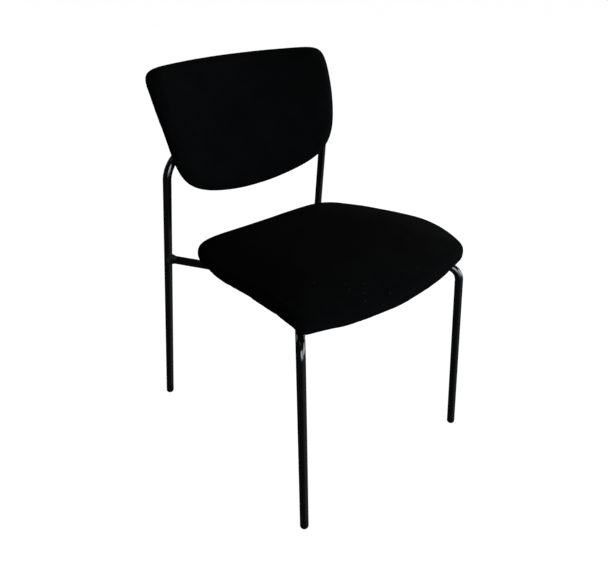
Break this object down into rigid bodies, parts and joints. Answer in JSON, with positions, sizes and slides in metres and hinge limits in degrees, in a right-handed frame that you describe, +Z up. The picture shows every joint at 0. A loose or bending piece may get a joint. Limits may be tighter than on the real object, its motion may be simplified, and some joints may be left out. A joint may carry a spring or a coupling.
{
  "type": "stacking chair",
  "caption": "Armless stacking chair: bent round-tube steel legs, an upholstered seat with a drooping front edge, and a curved upholstered back pad on a tube arch.",
  "frame": {"origin": "centre of the bounding box on the floor, under the seat", "axes": "+Z up, the chair faces -Y, +X is the sitter's left"},
  "size_m": [0.499, 0.5874, 0.8099],
  "materials": {
    "frame_paint": "gloss black stove enamel",
    "upholstery": "matt black woven wool-blend fabric",
    "dust_cloth": "black non-woven dust cloth",
    "foam": "open-cell upholstery foam",
    "ply": "raw moulded beech plywood",
    "zinc": "bright zinc plate",
    "glide_plastic": "moulded black nylon",
    "buffer_plastic": "moulded black polyethylene"
  },
  "bodies": {
    "root": {"back_frame_tube": "frame_paint", "side_tube_left": "frame_paint", "side_tube_right": "frame_paint", "front_cross_tube": "frame_paint", "rear_cross_tube": "frame_paint", "seat_mount_plates": "frame_paint", "back_mount_plates": "frame_paint", "weld_beads": "frame_paint", "glide_front_left": "glide_plastic", "glide_front_right": "glide_plastic", "glide_rear_left": "glide_plastic", "glide_rear_right": "glide_plastic", "stacking_buffers": "buffer_plastic", "seat_board": "ply", "seat_foam": "foam", "seat_cover": "upholstery", "seat_dust_cover": "dust_cloth", "seat_tee_nuts": "zinc", "seat_screws": "zinc", "seat_washers": "zinc", "seat_staples": "zinc", "back_board": "ply", "back_foam": "foam", "back_front_cover": "upholstery", "back_rear_cover": "upholstery", "back_tee_nuts": "zinc", "back_screws": "zinc", "back_washers": "zinc", "back_staples": "zinc"}
  },
  "joints": []
}
